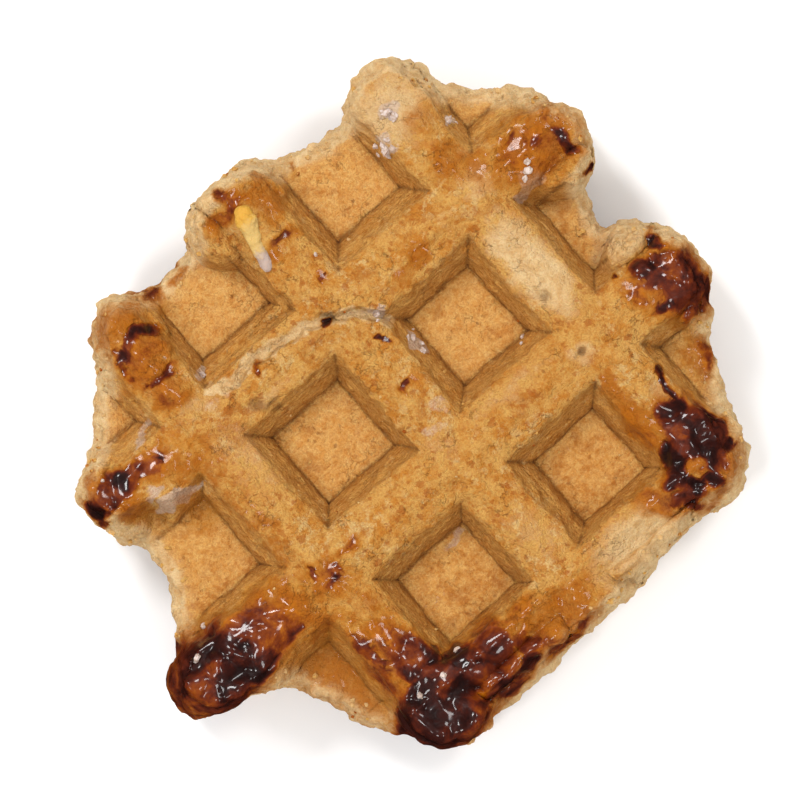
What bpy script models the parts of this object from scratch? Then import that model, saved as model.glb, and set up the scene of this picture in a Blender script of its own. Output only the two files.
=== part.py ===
"""A liege waffle, lying flat: one piece of yeast dough baked between two deep-grid irons.

Metres, +Z up. The grid of ribs runs along X and Y. The origin is at the middle of the
bounding box, on the surface that the waffle lies on.

The dough is put together the way it sits in the irons. A thin web fills the gap between
the pegs, tapered ribs fill the channels between them, and a knob of free dough swells out
at the end of each rib. A voxel remesh melts these together and smoothing rounds them, the
knobs far more than the rims of the pockets. Noise makes the free dough lumpy, and the two
irons press the faces flat.
"""

import math

import bmesh
import bpy
from mathutils import Matrix, Vector, noise

MM = 0.001

# The gap between the two irons, and between the pegs that stand on them
THICKNESS = 24.0 * MM
WEB = 7.0 * MM
MID = THICKNESS / 2

# Where the two middle ribs cross. Every place below is given from here, in mm.
CROSSING = Vector((3.2, -10.9, 0.0)) * MM

# The free edge of the web, clockwise from the west
WEB_EDGE = [
    (-49.5, 3), (-45, 11), (-42, 17), (-41.8, 22), (-44, 26), (-41.6, 32.6),
    (-34, 38.6), (-28.4, 44), (-21, 48), (-14, 48.9), (-9.8, 48), (0, 50),
    (11, 49.3), (18.2, 47.2), (26, 48), (32.8, 43.2), (37.4, 38.8), (42.6, 33.6),
    (45.4, 21.4), (40.4, 17.5), (38.2, 13), (38.4, 9.5), (42, 2), (41.8, -8.5),
    (38.6, -12.4), (35.8, -19), (29.4, -26.5), (22, -29), (13, -28.6), (7, -30.8),
    (-2, -30.8), (-22, -29.6), (-31, -25), (-35, -18.5), (-37.8, -10.6), (-41.5, -6.4),
    (-48, -3.6),
]
WEB_ROUNDING = 0.3
CURVE_STEPS = 6

# The ribs: the way each runs, its two ends, the centre line and half the width of its top,
# then how far its foot spreads from that line on the low and the high side. The walls
# nearest the middle of the waffle lean most.
RIBS = {
    "south": ("X", -26, 28, -23.0, 2.6, 5.0, 4.2),
    "middle_row": ("X", -45, 41, 0.2, 4.5, 7.4, 7.4),
    "north": ("X", -38, 42, 27.3, 4.0, 7.3, 7.7),
    "west": ("Y", -27, 45, -24.2, 3.9, 6.6, 6.7),
    "middle_column": ("Y", -26, 48, 1.2, 3.9, 6.2, 7.2),
    "east": ("Y", -25, 46, 26.8, 3.9, 6.8, 6.3),
}
END_SLOPE = 2.0
END_RADIUS = 3.6

# The knobs of free dough at the rib ends: centre, then half the length, width and height
KNOBS = {
    "west": (-45.8, 0.2, 6.9, 5.3, 12.9),
    "west_upper": (-38.4, 29.4, 6.2, 5.2, 12.9),
    "west_upper_bulge": (-41.0, 25.8, 3.4, 4.4, 7.5),
    "north_west": (-23.2, 43.4, 5.6, 6.6, 13.0),
    "north": (-0.1, 46.8, 8.3, 6.5, 12.9),
    "north_east": (26.8, 44.0, 6.4, 7.0, 13.0),
    "east_upper": (39.5, 24.8, 6.8, 7.2, 13.0),
    "east": (38.8, 1.0, 6.8, 8.6, 13.0),
    "south_east": (26.4, -22.8, 6.8, 6.8, 13.0),
    "south_side": (1.0, -25.0, 30.0, 4.8, 12.8),
    "south": (3.0, -26.0, 9.5, 5.2, 10.0),
    "south_west": (-23.6, -24.8, 7.0, 6.8, 13.0),
}
KNOB_CUTS = 5
FULLNESS = 0.5

# The surface. Dough counts as free by how near it is to the outer edge, 1 being there.
VOXEL = 0.7 * MM
ROUNDING_PASSES = 2
EDGE_LENGTH, EDGE_WIDTH = 52.0 * MM, 44.0 * MM
SOFT_FROM = 0.7
SOFTENING_PASSES = 8
LUMP_SIZE = 8.0 * MM
LUMP_HEIGHT = 1.4 * MM
EVEN_UP_TO, FREE_WITHIN = 0.55, 0.4
LEAST_LUMPS = 0.12
PRESSED = 0.5 * MM
TRIANGLES = 9200

DOUGH_COLOUR = (0.62, 0.36, 0.14, 1.0)
DOUGH_ROUGHNESS = 0.75


def clear_scene():
    for thing in list(bpy.data.objects):
        bpy.data.objects.remove(thing)


def from_crossing(x, y, height=0.0):
    """A point given in millimetres from the middle crossing, in the waffle's own frame."""
    return CROSSING + Vector((x * MM, y * MM, height))


def mesh_of(thing):
    """What an object looks like with its modifiers applied, as a new mesh."""
    graph = bpy.context.evaluated_depsgraph_get()
    return bpy.data.meshes.new_from_object(thing.evaluated_get(graph))


def add_piece(dough, piece, place):
    """Moves a finished piece into place and adds it to the dough."""
    bmesh.ops.transform(piece, matrix=place, verts=piece.verts)
    mesh = bpy.data.meshes.new("piece")
    piece.to_mesh(mesh)
    piece.free()
    dough.from_mesh(mesh)
    bpy.data.meshes.remove(mesh)


def add_web(dough):
    """The web: a smooth closed curve through the edge's points, as thick as the pegs' gap."""
    curve = bpy.data.curves.new("web", "CURVE")
    curve.dimensions = "2D"
    curve.fill_mode = "BOTH"
    curve.resolution_u = CURVE_STEPS
    curve.bevel_depth = WEB * WEB_ROUNDING
    curve.bevel_resolution = 2
    curve.offset = -curve.bevel_depth
    curve.extrude = WEB / 2 - curve.bevel_depth
    spline = curve.splines.new("BEZIER")
    spline.bezier_points.add(len(WEB_EDGE) - 1)
    spline.use_cyclic_u = True
    for point, edge in zip(spline.bezier_points, WEB_EDGE):
        point.co = from_crossing(*edge)
        point.handle_left_type = "AUTO"
        point.handle_right_type = "AUTO"
    holder = bpy.data.objects.new("web", curve)
    bpy.context.collection.objects.link(holder)
    flat = mesh_of(holder)
    bpy.data.objects.remove(holder)
    web = bmesh.new()
    web.from_mesh(flat)
    bmesh.ops.remove_doubles(web, verts=web.verts, dist=0.01 * MM)
    add_piece(dough, web, Matrix.Translation((0, 0, MID)))


def is_upright(edge):
    """True for the four corner edges of a rib's bar."""
    start, end = (vert.co for vert in edge.verts)
    return start.x * end.x > 0 and start.y * end.y > 0


def add_rib(dough, runs, start, end, centre, top_half, low_foot, high_foot):
    """A bar as thick as the web, drawn out to a narrower, shorter top and underside."""
    rib = bmesh.new()
    size = Matrix.Diagonal(((end - start) * MM, 1, WEB, 1))
    bmesh.ops.create_cube(rib, size=1.0, matrix=size)
    for corner in rib.verts:
        corner.co.y = high_foot * MM if corner.co.y > 0 else -low_foot * MM
    for face in [f for f in rib.faces if abs(f.normal.z) > 0.9]:
        rise = math.copysign(MID - WEB / 2, face.normal.z)
        tip = bmesh.ops.extrude_discrete_faces(rib, faces=[face])["faces"][0]
        for corner in tip.verts:
            corner.co.x -= math.copysign(END_SLOPE * MM, corner.co.x)
            corner.co.y = math.copysign(top_half * MM, corner.co.y)
            corner.co.z += rise
    corners = [edge for edge in rib.edges if is_upright(edge)]
    bmesh.ops.bevel(rib, geom=corners, offset=END_RADIUS * MM, segments=4, profile=0.5, affect="EDGES")
    middle = from_crossing((start + end) / 2, centre, MID)
    turn = Matrix.Identity(4)
    if runs == "Y":
        middle = from_crossing(centre, (start + end) / 2, MID)
        turn = Matrix(((0, 1, 0, 0), (1, 0, 0, 0), (0, 0, 1, 0), (0, 0, 0, 1)))
        bmesh.ops.reverse_faces(rib, faces=rib.faces)
    add_piece(dough, rib, Matrix.Translation(middle) @ turn)


def add_knob(dough, x, y, half_x, half_y, half_z):
    """A ball whose top and underside are filled out, as dough is when it meets the irons."""
    knob = bmesh.new()
    bmesh.ops.create_icosphere(knob, subdivisions=KNOB_CUTS, radius=1.0)
    for vert in knob.verts:
        vert.co.z = math.copysign(abs(vert.co.z) ** FULLNESS, vert.co.z)
    size = Matrix.Diagonal((half_x * MM, half_y * MM, half_z * MM, 1))
    add_piece(dough, knob, Matrix.Translation(from_crossing(x, y, MID)) @ size)


def melt_together(dough):
    """One closed surface round everything, with its rims rounded."""
    mesh = bpy.data.meshes.new("dough")
    dough.to_mesh(mesh)
    dough.free()
    rough = bpy.data.objects.new("dough", mesh)
    bpy.context.collection.objects.link(rough)
    melt = rough.modifiers.new("melt", "REMESH")
    melt.mode = "VOXEL"
    melt.voxel_size = VOXEL
    rims = rough.modifiers.new("rims", "SMOOTH")
    rims.iterations = ROUNDING_PASSES
    melted = mesh_of(rough)
    bpy.data.objects.remove(rough)
    return melted


def towards_edge(place):
    """How near a place is to the outer edge: 0 at the middle of the waffle, 1 at the edge."""
    return max(abs(place.x) / EDGE_LENGTH, abs(place.y) / EDGE_WIDTH)


def shape_free_dough(mesh):
    """The free dough at the edge is soft and lumpy; where the irons touched it stays even."""
    solid = bmesh.new()
    solid.from_mesh(mesh)
    knobs = [vert for vert in solid.verts if towards_edge(vert.co) > SOFT_FROM]
    for _ in range(SOFTENING_PASSES):
        bmesh.ops.smooth_vert(
            solid, verts=knobs, factor=0.5, use_axis_x=True, use_axis_y=True, use_axis_z=True
        )
    solid.normal_update()
    for vert in solid.verts:
        freedom = (towards_edge(vert.co) - EVEN_UP_TO) / FREE_WITHIN
        height = LUMP_HEIGHT * min(max(freedom, LEAST_LUMPS), 1.0)
        vert.co += vert.normal * (noise.noise(vert.co / LUMP_SIZE) * height)
    solid.to_mesh(mesh)
    solid.free()


def thin_out(mesh):
    """As few triangles as the form needs."""
    fine = bpy.data.objects.new("fine", mesh)
    bpy.context.collection.objects.link(fine)
    thin = fine.modifiers.new("thin", "DECIMATE")
    thin.ratio = TRIANGLES / sum(len(face.vertices) - 2 for face in mesh.polygons)
    thin.use_collapse_triangulate = True
    thinned = mesh_of(fine)
    bpy.data.objects.remove(fine)
    return thinned


def press(mesh):
    """The irons' two faces: what comes near them is pressed flat."""
    for vert in mesh.vertices:
        if vert.co.z < PRESSED:
            vert.co.z = 0.0
        elif vert.co.z > THICKNESS - PRESSED:
            vert.co.z = THICKNESS


def dough_material():
    material = bpy.data.materials.new("baked_dough")
    material.use_nodes = True
    shader = material.node_tree.nodes["Principled BSDF"]
    shader.inputs["Base Color"].default_value = DOUGH_COLOUR
    shader.inputs["Roughness"].default_value = DOUGH_ROUGHNESS
    shader.inputs["Metallic"].default_value = 0.0
    return material


def make_waffle():
    dough = bmesh.new()
    add_web(dough)
    for rib in RIBS.values():
        add_rib(dough, *rib)
    for knob in KNOBS.values():
        add_knob(dough, *knob)
    mesh = melt_together(dough)
    shape_free_dough(mesh)
    mesh = thin_out(mesh)
    press(mesh)
    mesh.name = "waffle"
    mesh.materials.clear()
    mesh.materials.append(dough_material())
    mesh.shade_smooth()
    waffle = bpy.data.objects.new("waffle", mesh)
    group = bpy.data.collections.new("liege_waffle")
    bpy.context.scene.collection.children.link(group)
    group.objects.link(waffle)


clear_scene()
make_waffle()
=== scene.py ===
# %% [markdown]
# # A liege waffle
#
# A liege waffle is a lump of rich yeast dough with pearl sugar in it, baked between two
# hot irons. The pegs of the irons press square pockets into both faces, and the sugar
# melts and burns where the dough runs free at the edge. The imported model holds the
# waffle's true shape as one plain solid. This lesson turns that solid into baked food.
# It starts by loading the frame and keeping its box.

# %% Load the frame
import math
import random

import bmesh
import bpy
import numpy as np
from mathutils import Euler, Matrix, Vector, noise
from mathutils.bvhtree import BVHTree


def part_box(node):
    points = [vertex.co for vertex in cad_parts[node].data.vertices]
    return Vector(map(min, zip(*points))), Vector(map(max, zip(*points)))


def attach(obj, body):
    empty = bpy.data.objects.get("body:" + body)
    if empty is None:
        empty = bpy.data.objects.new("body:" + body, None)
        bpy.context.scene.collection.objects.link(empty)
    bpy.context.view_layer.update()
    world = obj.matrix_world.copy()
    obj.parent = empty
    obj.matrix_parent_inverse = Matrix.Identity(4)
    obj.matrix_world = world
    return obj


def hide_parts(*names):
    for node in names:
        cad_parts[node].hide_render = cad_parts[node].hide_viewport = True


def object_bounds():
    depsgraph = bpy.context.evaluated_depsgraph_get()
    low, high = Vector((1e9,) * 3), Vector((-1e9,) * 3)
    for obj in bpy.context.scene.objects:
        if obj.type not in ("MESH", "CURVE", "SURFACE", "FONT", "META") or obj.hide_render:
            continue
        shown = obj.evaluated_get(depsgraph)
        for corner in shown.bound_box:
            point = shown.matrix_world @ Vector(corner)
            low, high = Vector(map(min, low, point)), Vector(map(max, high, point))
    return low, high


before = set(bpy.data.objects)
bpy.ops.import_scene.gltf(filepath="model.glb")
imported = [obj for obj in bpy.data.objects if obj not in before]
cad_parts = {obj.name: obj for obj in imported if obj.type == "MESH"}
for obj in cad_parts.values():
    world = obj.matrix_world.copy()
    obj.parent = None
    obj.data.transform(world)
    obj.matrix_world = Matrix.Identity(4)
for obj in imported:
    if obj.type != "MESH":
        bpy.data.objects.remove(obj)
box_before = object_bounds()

sides = [round(side * 1000, 1) for side in box_before[1] - box_before[0]]
print("frame:", sorted(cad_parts), sides, "mm")

# %% [markdown]
# ## The maker's measures
#
# A waffle maker thinks in pegs and ribs, so every place in this lesson is given in
# millimetres from the crossing of the two middle ribs. X runs along one set of ribs and
# Y along the other. Three heights matter: the upper face, the middle, and the top of the
# thin web of dough that stays between two pegs. Each rib is noted as its middle line, half
# the width of its top, and how far its foot reaches on its low side and on its high side.

# %% Measures
MM = 0.001
CROSSING = Vector((3.2, -10.9, 0.0)) * MM
LOW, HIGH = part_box("waffle")
THICKNESS = HIGH.z - LOW.z
MIDDLE = (HIGH.z + LOW.z) / 2
WEB_HALF = 3.5 * MM
WEB_TOP = MIDDLE + WEB_HALF
ROWS = [(-23.0, 2.6, 5.0, 4.2), (0.2, 4.5, 7.4, 7.4), (27.3, 4.0, 7.3, 7.7)]
COLUMNS = [(-24.2, 3.9, 6.6, 6.7), (1.2, 3.9, 6.2, 7.2), (26.8, 3.9, 6.8, 6.3)]
DEPTH = (HIGH.z - WEB_TOP) / MM


def place(x, y, height):
    """A point given in mm from the middle crossing, at a height in metres."""
    return Vector((CROSSING.x + x * MM, CROSSING.y + y * MM, height))


print("thickness:", round(THICKNESS / MM, 2), "mm, pockets:", round(DEPTH, 2), "mm deep")

# %% [markdown]
# ## The table, the light and the camera
#
# The waffle lies on a plain white table and is seen from straight above, turned so that
# its ribs run corner to corner. Four soft panels stand round it, well up, and the north
# one is the strongest, so the pocket walls that face north are bright. The table and the
# room's even light are hidden from mirror rays: caramel is a mirror, and with only the
# panels to reflect it stays deep brown, while each wrinkle catches one as a small glint.

# %% Table
TABLE_HALF = 3.0
TABLE_GAP = 0.05 * MM
table_mesh = bpy.data.meshes.new("table")
sketch = bmesh.new()
bmesh.ops.create_grid(sketch, x_segments=1, y_segments=1, size=TABLE_HALF)
bmesh.ops.translate(sketch, verts=sketch.verts, vec=(0, 0, LOW.z - TABLE_GAP))
sketch.to_mesh(table_mesh)
sketch.free()
table = bpy.data.objects.new("table", table_mesh)
bpy.context.scene.collection.objects.link(table)
table.visible_glossy = False
print("table laid")

# %% Light
# A panel is its bearing and its height in degrees, its side in metres and its watts.
PANELS = {
    "north": (0, 55, 0.25, 5.7),
    "east": (-90, 60, 0.2, 2.0),
    "south": (180, 62, 0.2, 2.0),
    "west": (90, 58, 0.2, 2.9),
}
PANEL_DISTANCE = 1.1
ROOM_LIGHT = 0.75
for name, (bearing, height, side, power) in PANELS.items():
    lamp = bpy.data.lights.new("panel_" + name, "AREA")
    lamp.shape = "SQUARE"
    lamp.size = side
    lamp.energy = power
    panel = bpy.data.objects.new("panel_" + name, lamp)
    tilt = Euler((math.radians(90 - height), 0, math.radians(180 + bearing)))
    panel.rotation_euler = tilt
    panel.location = tilt.to_matrix() @ Vector((0, 0, PANEL_DISTANCE))
    bpy.context.scene.collection.objects.link(panel)
world = bpy.data.worlds.new("room")
bpy.context.scene.world = world
world.use_nodes = True
backdrop = world.node_tree.nodes["Background"]
backdrop.inputs["Color"].default_value = (1.0, 1.0, 1.0, 1.0)
backdrop.inputs["Strength"].default_value = ROOM_LIGHT
world.cycles_visibility.glossy = False
bpy.context.scene.view_settings.view_transform = "Standard"
print("panels:", len(PANELS))

# %% Camera
VIEW_TURN = math.radians(-41.3)
VIEW_WIDTH = 115.56 * MM
VIEW_CENTRE = Vector((3.1, 1.1, 0.0)) * MM
VIEW_DISTANCE = 1.0
SENSOR_WIDTH = 36.0
NEAREST_SEEN = 0.01
lens = bpy.data.cameras.new("camera")
lens.sensor_width = SENSOR_WIDTH
lens.lens = lens.sensor_width * VIEW_DISTANCE / VIEW_WIDTH
lens.clip_start = NEAREST_SEEN
camera = bpy.data.objects.new("camera", lens)
camera.location = VIEW_CENTRE + Vector((0, 0, MIDDLE + VIEW_DISTANCE))
camera.rotation_euler = (0, 0, VIEW_TURN)
bpy.context.scene.collection.objects.link(camera)
bpy.context.scene.camera = camera
print("lens:", round(lens.lens), "mm")

# %% [markdown]
# ## The dough
#
# The solid from the frame has the right outline, ribs and pockets, but its facets are
# two millimetres wide. Its copy is merged, melted into a fine even skin with a voxel
# remesh and relaxed. An even skin is what sculpting needs: each point then stands for
# the same patch of crust, so one noise gives the same size of lump everywhere.
#
# Melting blurs what the pegs pressed. So floors, walls and rib tops are then set true on
# the pegs' own shape, and the rims that this leaves sharp are rubbed down. Knobs and the
# free edge lie far from the pegs' shape, and the truing lets them be.

# %% A fine skin
SKIN_VOXEL = 0.42 * MM
MERGED_WITHIN = 0.001 * MM
RELAXING = 2


def link(name, mesh):
    """A new object in the scene that shows this mesh."""
    made = bpy.data.objects.new(name, mesh)
    bpy.context.scene.collection.objects.link(made)
    return made


def settle(piece):
    """The piece's mesh with its modifiers applied, in place of the old one."""
    graph = bpy.context.evaluated_depsgraph_get()
    made = bpy.data.meshes.new_from_object(piece.evaluated_get(graph))
    piece.modifiers.clear()
    piece.data = made


def coordinates(mesh):
    """The mesh's points as rows of x, y and z."""
    flat = np.empty(len(mesh.vertices) * 3)
    mesh.vertices.foreach_get("co", flat)
    return flat.reshape(-1, 3)


def directions(mesh):
    """The outward direction at each point, as rows."""
    flat = np.empty(len(mesh.vertices) * 3)
    mesh.vertex_normals.foreach_get("vector", flat)
    return flat.reshape(-1, 3)


def reshape(mesh, points):
    """Moves the mesh's points to these rows."""
    mesh.vertices.foreach_set("co", points.ravel())
    mesh.update()


def store(mesh, name, values):
    """Keeps a number for each point under this name."""
    layer = mesh.attributes.new(name, "FLOAT", "POINT")
    layer.data.foreach_set("value", values.astype(np.float32))


def triangles(mesh):
    """How many triangles the mesh's faces make."""
    return sum(len(face.vertices) - 2 for face in mesh.polygons)


loaf = bmesh.new()
loaf.from_mesh(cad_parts["waffle"].data)
bmesh.ops.remove_doubles(loaf, verts=loaf.verts, dist=MERGED_WITHIN)
skin = bpy.data.meshes.new("waffle_crust")
loaf.to_mesh(skin)
loaf.free()
crust = link("waffle_crust", skin)
melt = crust.modifiers.new("melt", "REMESH")
melt.mode = "VOXEL"
melt.voxel_size = SKIN_VOXEL
relax = crust.modifiers.new("relax", "SMOOTH")
relax.iterations = RELAXING
settle(crust)
print("melted skin:", len(crust.data.vertices), "points")

# %% True floors and walls
TRUED_WITHIN = 2.8
TRUED_FADE = 1.4
UNTRUED_CORE = 2.6 * MM
UNTRUED_SLOPE = 0.12
RIM_SEARCH = 10
RIM_STANDS_OUT = -0.05
RIM_PASSES = 24


def smooth(form, verts, passes):
    """Relaxes these points of a bmesh."""
    for _ in range(passes):
        bmesh.ops.smooth_vert(
            form, verts=verts, factor=0.5, use_axis_x=True, use_axis_y=True, use_axis_z=True
        )


def hollows(mesh, passes):
    """How far each point lies inside the same skin relaxed this many times, in mm."""
    blank = bmesh.new()
    blank.from_mesh(mesh)
    smooth(blank, blank.verts, passes)
    relaxed = np.array([vert.co for vert in blank.verts])
    blank.free()
    return ((relaxed - coordinates(mesh)) * directions(mesh)).sum(axis=1) / MM


def rise(points, axis, lines):
    """How high in mm the nearest rib's wall stands over the web at each point, as if the
    walls ran on below the web and above the rib's top."""
    highest = np.full(len(points), -1e9)
    offset = points[:, axis] / MM - (CROSSING.x, CROSSING.y)[axis] / MM
    for line, half_top, low_foot, high_foot in lines:
        away = offset - line
        foot = np.where(away < 0, low_foot, high_foot)
        highest = np.maximum(highest, (foot - np.abs(away)) / (foot - half_top) * DEPTH)
    return highest


def true_up(mesh):
    """Sets floors, walls and rib tops on the shape of the pegs, where they already lie
    near it. Knobs and the free edge stand far from it and stay as they are."""
    points = coordinates(mesh)
    wall = np.maximum(rise(points, 1, ROWS), rise(points, 0, COLUMNS))
    ideal = (WEB_TOP - MIDDLE) / MM + np.clip(wall, 0.0, DEPTH)
    side = np.sign(points[:, 2] - MIDDLE)
    gap = np.abs(points[:, 2] - MIDDLE) / MM - ideal
    near = np.clip((TRUED_WITHIN - np.abs(gap)) / TRUED_FADE, 0.0, 1.0)
    near *= np.abs(points[:, 2] - MIDDLE) > UNTRUED_CORE
    near *= np.abs(directions(mesh)[:, 2]) > UNTRUED_SLOPE
    points[:, 2] -= side * gap * near * MM
    reshape(mesh, points)


def rub_down(mesh, chosen, passes):
    """Smooths only the chosen points."""
    dough = bmesh.new()
    dough.from_mesh(mesh)
    dough.verts.ensure_lookup_table()
    smooth(dough, [dough.verts[number] for number in np.flatnonzero(chosen)], passes)
    dough.to_mesh(mesh)
    dough.free()


true_up(crust.data)
rub_down(crust.data, hollows(crust.data, RIM_SEARCH) < RIM_STANDS_OUT, RIM_PASSES)
print("fine skin:", len(crust.data.vertices), "points,", triangles(crust.data), "triangles")

# %% [markdown]
# ## Noise, distance and soft steps
#
# Everything that follows is decided point by point, from a few fields: smooth noise for
# lumps, swirled noise with creases for the folds of cooked sugar, and soft steps to fade
# one thing into another. Fields were chosen over pushing single points about by hand,
# because they give the same crust on each run, at any fineness of the skin. A patch is
# an ellipse with a soft rim, which is how a stain or a puddle of syrup sits on a crust
# once its rim is pushed about by noise.

# %% Fields
SEED_STEP = 7.31
SWIRL_SIZE = 1.4
SWIRL_PUSH = 0.5
FOLD_SWELL = 2.6


def soft_step(low, high, values):
    """0 below low, 1 above high, and a smooth rise between. low may be the larger."""
    ramp = np.clip((values - low) / (high - low), 0.0, 1.0)
    return ramp * ramp * (3 - 2 * ramp)


def lumps(points, size, seed):
    """Smooth noise from -1 to 1, with lumps of this size in mm. The size may be three, for
    lumps that are drawn out along x, y or z."""
    scaled = points / (np.array(size) * MM) + seed * SEED_STEP
    return np.array([noise.noise(point) for point in scaled.tolist()])


def folds(points, size, seed):
    """Rounded folds from 0 to 1 with narrow creases between them, of this size in mm."""
    swirl = [lumps(points, size * SWIRL_SIZE, seed + number) for number in (1, 2, 3)]
    swirled = points + np.stack(swirl, axis=1) * (size * SWIRL_PUSH * MM)
    return np.sqrt(np.clip(np.abs(lumps(swirled, size, seed)) * FOLD_SWELL, 0.0, 1.0))


def patches(x, y, spots, rim=0.35):
    """The strongest of the patches at each point. A patch is its middle, its two half
    lengths, how many degrees it is turned, and its strength."""
    strongest = np.zeros(len(x))
    for middle_x, middle_y, half_long, half_wide, turn, strength in spots:
        turned = math.radians(turn)
        along = (x - middle_x) * math.cos(turned) + (y - middle_y) * math.sin(turned)
        across = (y - middle_y) * math.cos(turned) - (x - middle_x) * math.sin(turned)
        reach = np.hypot(along / half_long, across / half_wide)
        strongest = np.maximum(strongest, strength * soft_step(1 + rim, 1 - rim, reach))
    return strongest


def near_path(x, y, path):
    """The distance in mm to a line through these places, and how far along it, 0 to 1."""
    best = np.full(len(x), 1e9)
    share = np.zeros(len(x))
    for number, (start, end) in enumerate(zip(path, path[1:])):
        step = np.subtract(end, start)
        along = ((x - start[0]) * step[0] + (y - start[1]) * step[1]) / step.dot(step)
        along = np.clip(along, 0.0, 1.0)
        gap = np.hypot(x - start[0] - along * step[0], y - start[1] - along * step[1])
        closer = gap < best
        best = np.where(closer, gap, best)
        share = np.where(closer, (number + along) / (len(path) - 1), share)
    return best, share


print("fields ready")

# %% [markdown]
# ## Where the sugar went
#
# Pearl sugar melts where the dough meets the hot iron. It gathers on the knobs at the rib
# ends, and how long it cooked sets its colour: a thin amber film, orange-brown syrup,
# red-brown caramel, and at last black char. The lists below are the maker's notes of
# where each sits. A patch is its middle, half its length, half its width, its turn in
# degrees, and its strength, from 0 for bare crust to 1 for char. Where the syrup lies thin
# on top of a knob, a patch in the second list takes some of it away.

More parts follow.
